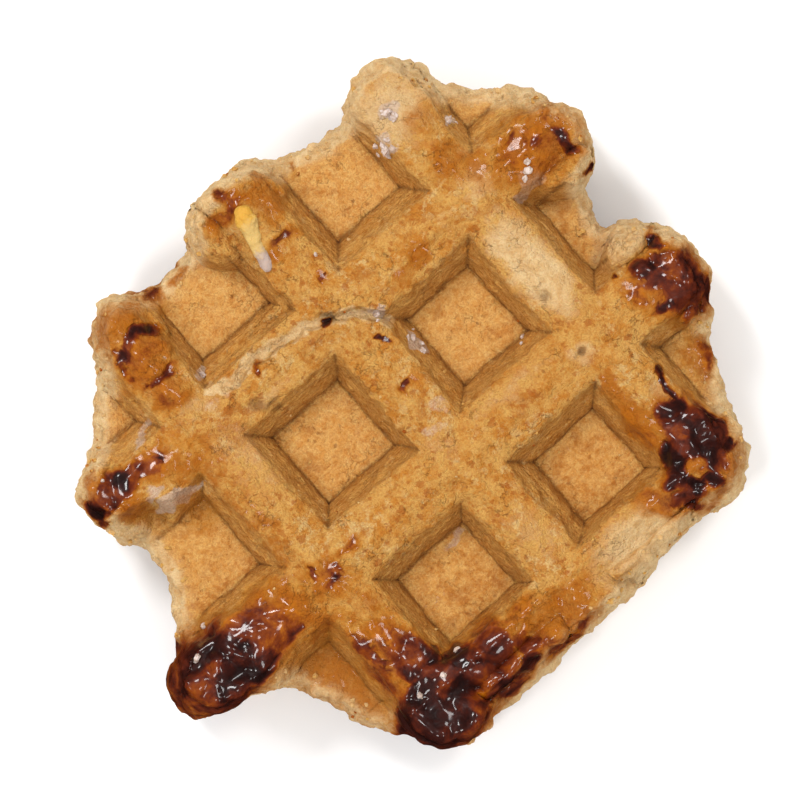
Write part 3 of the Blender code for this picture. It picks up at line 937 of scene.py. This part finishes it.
GOLD = tone(200, 152, 80)
TAN = tone(180, 114, 38)
TOASTED = tone(150, 80, 20)
FLECK = tone(152, 78, 20)
SPECK = tone(112, 60, 26)
CREAM = tone(224, 197, 150)
CREAM_SHADE = tone(202, 163, 108)
FLOUR = tone(206, 172, 112)
WALL = tone(216, 160, 84)
WALL_DARK = tone(170, 108, 40)
# The dark brown of painted shade in recesses: wall feet, pocket corners, pits and hollows.
PAINTED_SHADE = tone(78, 52, 30)
FLOOR_PALE = tone(220, 172, 102)
FLOOR_TAN = tone(208, 148, 76)
SUGAR_GREY = tone(200, 176, 154)
YELLOW_WASH = tone(186, 122, 32)
STAIN = tone(158, 86, 16)
AMBER = tone(172, 98, 8)
ORANGE_BROWN = tone(124, 55, 8)
RED_BROWN = tone(90, 32, 13)
DEEP_BROWN = tone(52, 18, 12)
CHAR = tone(32, 14, 12)
print("golden tan, made linear:", [round(part, 3) for part in GOLD])

# %% Golden crust
baked = Finish("baked_dough", {
    "Subsurface Weight": 0.1,
    "Subsurface Radius": (0.0018, 0.0009, 0.0004),
    "Subsurface Scale": 1.0,
    "IOR": 1.45,
    "Specular IOR Level": 0.12,
    "Coat Roughness": 0.1,
    "Coat IOR": 1.5,
})
broad = baked.noise(9.0, 2.0)
patchy = baked.noise(2.6, 4.0, 0.6)
mottle = baked.noise(0.9, 4.0, 0.65)
grain = baked.noise(0.3, 3.0, 0.65)
syrup = baked.note("syrup")
pale = baked.note("pale")
hollow_note = baked.note("hollow")

golden = baked.mix(baked.step(0.4, 0.64, patchy * 0.6 + mottle * 0.4), GOLD, TAN)
floury = baked.step(0.5, 0.62, baked.noise(1.9, 5.0, 0.72))
floury = floury * baked.step(0.42, 0.56, broad * 0.5 + patchy * 0.5)
golden = baked.mix(floury * 0.8, golden, FLOUR)
floor = baked.note("floor")
floor_colour = baked.mix(baked.step(0.36, 0.66, mottle), FLOOR_PALE, FLOOR_TAN)
golden = baked.mix(floor * 0.7, golden, floor_colour)
brown = baked.note("brown")
browned = baked.step(0.3, 0.9, brown + (patchy - 0.5) * 1.2 + (broad - 0.5) * 0.8)
colour = baked.mix(browned * 0.8, golden, TOASTED)
orange_patch = baked.step(0.55, 0.68, baked.noise(4.2, 5.0, 0.68, warp=0.5))
colour = baked.mix(orange_patch * 0.45, colour, TOASTED)
fewer = 1 - floor * 0.5
colour = baked.mix(baked.chips(1.5, 0.13) * fewer * 0.6, colour, FLECK)
colour = baked.mix(baked.chips(0.8, 0.13) * fewer * 0.5, colour, FLECK)
colour = baked.mix(baked.chips(0.6, 0.05) * 0.5, colour, SPECK)
crisp = baked.step(0.5, 0.6, baked.noise(1.3, 5.0, 0.75)) * baked.step(0.2, 0.7, brown)
colour = baked.mix(crisp * 0.55, colour, STAIN)
vein = baked.unsigned(baked.noise(3.4, 4.0, 0.6) - 0.5)
cracks = baked.step(0.01, 0.002, vein) * baked.step(0.52, 0.62, baked.noise(5.0, 2.0)) * fewer
colour = baked.mix(cracks * 0.36, colour, SPECK)
print("golden crust mixed")

# %% Cream dough and pocket walls
cream = baked.mix(baked.step(0.34, 0.66, patchy * 0.5 + mottle * 0.5), CREAM, CREAM_SHADE)
cream_share = baked.step(0.15, 0.75, pale + (patchy - 0.5) * 0.9 + (mottle - 0.5) * 0.9)
colour = baked.mix(cream_share * 0.85, colour, cream)
streak_x = baked.noise(0.42, 3.0, 0.6, (0.3, 1.0, 1.0), 1.2)
streak_y = baked.noise(0.42, 3.0, 0.6, (1.0, 0.3, 1.0), 1.2)
wall_x = baked.note("wall_along_x")
wall_y = baked.note("wall_along_y")
streaks = streak_x * wall_x + streak_y * wall_y
wall_share = wall_x + wall_y
streak = baked.step(0.36, 0.6, streaks / (wall_share + 0.001))
wall_colour = baked.mix(streak, WALL_DARK, WALL)
up_row = baked.note("row_rise")
up_column = baked.note("column_rise")
highest = baked.add("ShaderNodeMath", {"operation": "MAXIMUM"}, {0: up_row, 1: up_column})
lower_wall = baked.step(9.0, 4.0, highest + (patchy - 0.5) * 3)
colour = baked.mix(wall_share * (0.1 + patchy * 0.4 + lower_wall * 0.4), colour, wall_colour)
print("cream and walls laid on")

# %% Painted shade at the feet and in the corners of the walls
apart = baked.unsigned(up_row - up_column)
foot_gap = baked.unsigned(highest + (mottle - 0.5) * 1.2)
foot_line = baked.step(1.3, 0.1, foot_gap)
above_floor = baked.step(-0.5, 0.5, highest)
corner_line = baked.step(1.6, 0.1, apart + (mottle - 0.5) * 1.0) * above_floor
corner_line = corner_line * baked.step(10.5, 8.0, highest)
# Painted shade: wall feet and pocket corners are darkened towards WALL_DARK, with thin broken dark
# lines along them.
foot_shade = baked.step(3.4, 0.0, foot_gap) + baked.step(3.6, 0.2, apart) * above_floor
inner = (floor + wall_share) * (1 - baked.step(0.3, 0.7, pale))
colour = baked.mix(foot_shade * 0.24 * inner, colour, WALL_DARK)
nook_shade = (foot_line + corner_line) * baked.step(0.3, 0.56, grain * 0.5 + patchy * 0.5)
nook_shade = nook_shade * baked.step(0.1, 0.5, inner)
colour = baked.mix(nook_shade * 0.55, colour, PAINTED_SHADE)
print("feet and corners shaded")

# %% Painted shade in the pits and hollows, and dry sugar
# Pits and hollows are darkened with painted shade.
pit_shade = baked.step(0.4, 1.1, baked.note("pit") + (mottle - 0.5) * 0.8 + (patchy - 0.5) * 0.6)
colour = baked.mix(pit_shade * 0.5, colour, PAINTED_SHADE)
sugary = baked.step(0.3, 0.7, baked.note("dry_sugar") + (mottle - 0.5) * 0.6)
colour = baked.mix(sugary * 0.75, colour, SUGAR_GREY)
colour = baked.mix(baked.step(0.4, 0.62, grain) * (0.32 - cream_share * 0.14), colour, FLECK)
print("pits and dry sugar laid on")

# %% The syrup
SYRUP_RAMP = [
    (0.25, AMBER), (0.44, ORANGE_BROWN), (0.6, RED_BROWN), (0.78, DEEP_BROWN), (1.0, CHAR),
]
depth_of_colour = baked.noise(3.4, 4.0, 0.6, warp=0.8)
cooked = syrup + (depth_of_colour - 0.5) * 0.85 + (mottle - 0.5) * 0.3 + hollow_note * 0.25
ramp = baked.add("ShaderNodeValToRGB", {"stops": SYRUP_RAMP}, {0: cooked})
washed = baked.step(0.005, 0.16, syrup + brown * 0.12 + (patchy - 0.5) * 0.12)
colour = baked.mix(washed * (0.15 + mottle * 0.8), colour, baked.mix(patchy, YELLOW_WASH, STAIN))
stained = baked.step(0.1, 0.36, syrup + (patchy - 0.5) * 0.3 + (mottle - 0.5) * 0.3)
colour = baked.mix(stained * 0.7, colour, STAIN)
covered = baked.step(0.26, 0.52, syrup + (patchy - 0.5) * 0.3 + (mottle - 0.5) * 0.26)
colour = baked.mix(covered, colour, ramp)
print("syrup laid on")

# %% Gloss and relief
glazed = baked.step(0.06, 0.3, syrup + (patchy - 0.5) * 0.3)
wet = baked.step(0.3, 0.56, syrup + (patchy - 0.5) * 0.2)
roughness = (0.62 + grain * 0.2) * (1 - wet) + 0.4 * wet
flaky = baked.step(0.5, 0.56, baked.noise(2.8, 4.0, 0.6)) * (1 - floor * 0.6) * (1 - wall_share)
crumb_relief = mottle * 0.6 + grain * 0.4 + flaky * 0.16 + streaks * 0.7 - cracks * 0.4
syrup_relief = baked.noise(1.4, 2.5, 0.5, warp=1.0) * 0.24
height = crumb_relief * (1 - wet) + syrup_relief * wet
baked.feed(
    Base_Color=colour,
    Roughness=roughness,
    Coat_Weight=glazed * 0.2 + wet * 0.34 + crisp * 0.22,
    Normal=baked.bump(height, 0.8),
)
print("nodes in the crust:", len(baked.tree.nodes))


def dress(piece, finish):
    """Gives the piece this finish alone."""
    piece.data.materials.clear()
    piece.data.materials.append(finish.material)


dress(crust, baked)
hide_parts("waffle")
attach(crust, "root")

# %% [markdown]
# ## Sugar and crumbs
#
# Pearl sugar that stayed clear of the iron is still in white grains, and one lump on the
# north knob half melted: its head ran yellow and its tail stayed white. Crumbs of crust
# and pale dough have broken off and lie where they fell. Each kind is one mesh. A grain
# starts as a small ball of few faces, is stretched and dented at random, and is set
# down on the crust where a line dropped from above meets it. Crumbs that fell in wet
# syrup sank, so those are left out.

# %% How a grain is set down
CHANCE_SEED = 7
DROP_HEIGHT = 0.02

chance = random.Random(CHANCE_SEED)
bpy.context.view_layer.update()
ground = BVHTree.FromObject(crust, bpy.context.evaluated_depsgraph_get())


def surface_at(x, y):
    """Where a line dropped at x and y, in mm from the crossing, meets the crust, and which
    way the crust faces there."""
    start = place(x, y, HIGH.z + DROP_HEIGHT)
    hit, direction, _, _ = ground.ray_cast(start, Vector((0, 0, -1)))
    return hit, direction


def grains(name, spots, sink):
    """One mesh of small dented balls, sunk in by this share of their size. A spot is x, y
    and size in mm."""
    heap = bmesh.new()
    for x, y, size in spots:
        hit, direction = surface_at(x, y)
        if hit is None:
            continue
        stretch = [chance.uniform(0.55, 1.35) for _ in range(3)]
        turn = Euler([chance.uniform(0, 6.3) for _ in range(3)]).to_matrix().to_4x4()
        spot = Matrix.Translation(hit + direction * size * MM * (0.5 - sink))
        form = spot @ turn @ Matrix.Diagonal([*[part * size * MM / 2 for part in stretch], 1.0])
        made = bmesh.ops.create_icosphere(heap, subdivisions=2, radius=1.0)
        for vert in made["verts"]:
            dent = noise.noise(vert.co * 1.4 + Vector((x, y, size)) * 3.7)
            dent += chance.uniform(-0.3, 0.3)
            vert.co = form @ (vert.co * (1 + dent * 0.6))
    mesh = bpy.data.meshes.new(name)
    heap.to_mesh(mesh)
    heap.free()
    return link(name, mesh)


print("ground to set grains on:", triangles(crust.data), "triangles")

# %% Sugar grains and crumbs
EDGE_CRUMBS = 150
LOOSE_CRUMBS = 40
WET_FROM = 0.3
SUGAR_SPOTS = [
    (25.5, 44.2, 2.0), (25.9, 43.1, 1.4), (22.2, 40.4, 1.4), (21.4, 41.6, 1.1), (23.0, 41.2, 0.9),
    (21.8, 39.4, 1.2), (22.8, 39.8, 0.8), (20.9, 40.6, 0.7), (31.5, 37.6, 1.2), (32.2, 36.6, 0.7),
    (35.2, 24.6, 1.2), (34.2, 24.0, 0.9), (36.0, 25.6, 0.8), (-19.0, 33.5, 1.3), (7.2, 17.4, 1.3),
    (7.6, 16.2, 0.9), (6.6, 17.9, 0.8), (5.6, 23.6, 0.9), (4.9, 22.6, 0.7), (19.2, 7.2, 0.7),
    (18.4, 6.6, 0.6), (-42.6, 6.2, 0.7), (4.6, 35.6, 0.6), (-17.5, -20.2, 1.0),
    (-25.8, -21.6, 1.3), (-46.2, 3.4, 1.3), (-21.4, -21.6, 1.1), (-39.6, 31.4, 0.7),
    (7.0, 15.2, 0.7), (8.0, 18.4, 0.6),
]
sugar = grains("sugar_grains", SUGAR_SPOTS, 0.5)

crumb_spots = []
for _ in range(EDGE_CRUMBS):
    number = chance.randrange(len(edge))
    inward = chance.uniform(0.4, 3.5) * MM
    reach = math.hypot(*edge[number])
    x, y = edge[number] * (1 - inward / reach)
    size = chance.uniform(0.35, 0.95) * chance.uniform(0.6, 1.2)
    crumb_spots.append(((x - CROSSING.x) / MM, (y - CROSSING.y) / MM, size))
for _ in range(LOOSE_CRUMBS):
    x, y, size = chance.uniform(-36, 38), chance.uniform(-22, 44), chance.uniform(0.25, 0.55)
    crumb_spots.append((x, y, size))
places = np.array(crumb_spots)
dry = patches(places[:, 0], places[:, 1], EVERY_SYRUP, 0.5) < WET_FROM
crumb_spots = [spot for spot, kept in zip(crumb_spots, dry) if kept]
crumbs = grains("crust_crumbs", crumb_spots, 0.45)
print("grains:", triangles(sugar.data), "and", triangles(crumbs.data), "triangles")

# %% The half-melted lump
# The lump is a string of places, each with half its width in mm, from head to tail.
LUMP = [
    (0.6, 46.7, 1.3), (0.3, 45.6, 1.55), (-0.2, 44.2, 1.3), (-0.8, 42.5, 1.05),
    (-1.2, 41.0, 0.95), (-1.5, 39.6, 1.1), (-1.9, 38.6, 0.8),
]
LUMP_VOXEL = 0.16 * MM
LUMP_RELAXING = 5
LUMP_FLATTENED = 0.75
LUMP_RAISED = 0.05

dollop = bmesh.new()
for (x, y, half), (next_x, next_y, next_half) in zip(LUMP, LUMP[1:]):
    for part in (0.0, 0.34, 0.67):
        across_x, across_y = x + (next_x - x) * part, y + (next_y - y) * part
        radius = (half + (next_half - half) * part) * MM
        hit, _ = surface_at(across_x, across_y)
        spot = Matrix.Translation(hit + Vector((0, 0, radius * LUMP_RAISED)))
        form = spot @ Matrix.Diagonal((radius, radius, radius * LUMP_FLATTENED, 1.0))
        bmesh.ops.create_icosphere(dollop, subdivisions=3, radius=1.0, matrix=form)
lump_mesh = bpy.data.meshes.new("sugar_lump")
dollop.to_mesh(lump_mesh)
dollop.free()
lump = link("sugar_lump", lump_mesh)
melt = lump.modifiers.new("melt", "REMESH")
melt.mode = "VOXEL"
melt.voxel_size = LUMP_VOXEL
relax = lump.modifiers.new("relax", "SMOOTH")
relax.iterations = LUMP_RELAXING
settle(lump)
points = coordinates(lump.data)
knobbly = lumps(points, 1.1, 41) * 0.22 + lumps(points, 0.5, 42) * 0.08
reshape(lump.data, points + directions(lump.data) * (knobbly * MM)[:, None])
store(lump.data, "melted", (points[:, 1] - CROSSING.y) / MM)
print("lump:", triangles(lump.data), "triangles")

# %% [markdown]
# ## The finishes of the sugar and crumbs
#
# Sugar grains are white with a breath of lilac in their shade, and let light through. The
# lump is coloured along its length. Crumbs take the colours of the crust or of the dough
# inside, crumb by crumb.

# %% Sugar and crumb finishes
SUGAR_WHITE = tone(208, 192, 184)
SUGAR_SHADE = tone(178, 152, 132)
MELTED_YELLOW = tone(202, 152, 62)
MELTED_CREAM = tone(200, 166, 100)
LILAC_WHITE = tone(178, 156, 144)


def clouded(weight, radius, gloss):
    """A shader's settings for something that light sinks into, with radii in metres."""
    return {
        "Subsurface Weight": weight,
        "Subsurface Radius": radius,
        "Subsurface Scale": 1.0,
        "IOR": 1.5,
        "Specular IOR Level": gloss,
    }


pearl = Finish("pearl_sugar", clouded(0.3, (0.0006, 0.0005, 0.0005), 0.2))
facets = pearl.noise(0.5, 3.0, 0.6)
pearl.feed(
    Base_Color=pearl.mix(pearl.step(0.35, 0.65, facets), SUGAR_WHITE, SUGAR_SHADE),
    Roughness=0.35 + facets * 0.3,
    Normal=pearl.bump(facets, 0.3),
)
candied = Finish("melted_sugar", clouded(0.3, (0.001, 0.0007, 0.0005), 0.1))
facets = candied.noise(0.7, 4.0, 0.6)
along = candied.note("melted") + (facets - 0.5) * 2.4
head = candied.mix(candied.step(44.4, 46.2, along), MELTED_CREAM, MELTED_YELLOW)
candied.feed(
    Base_Color=candied.mix(candied.step(42.0, 40.0, along), head, LILAC_WHITE),
    Roughness=0.45 + facets * 0.3,
    Normal=candied.bump(facets, 0.35),
)
broken = Finish("broken_crumb", clouded(0.15, (0.0008, 0.0005, 0.0003), 0.15))
drawn = broken.noise(4.5, 2.0)
bits = broken.noise(0.4, 3.0, 0.7)
crumb_colour = broken.mix(broken.step(0.4, 0.54, drawn + (bits - 0.5) * 0.3), CREAM_SHADE, GOLD)
broken.feed(
    Base_Color=broken.mix(broken.step(0.56, 0.64, drawn + (bits - 0.5) * 0.4), crumb_colour, FLECK),
    Roughness=0.7 + bits * 0.2,
    Normal=broken.bump(bits, 0.3),
)
for piece, finish in ((sugar, pearl), (lump, candied), (crumbs, broken)):
    dress(piece, finish)
    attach(piece, "root")
lump.data.shade_smooth()
print("dressed:", [piece.name for piece in (crust, sugar, lump, crumbs)])

# %% [markdown]
# ## The table's finish
#
# A white laminate: plain, with the faintest unevenness in its gloss.

# %% Table finish
laminate = Finish("white_laminate", {"Base Color": (0.96, 0.96, 0.96, 1.0)})
laminate.feed(Roughness=0.65 + laminate.noise(40.0, 2.0) * 0.1)
dress(table, laminate)
print("table dressed")
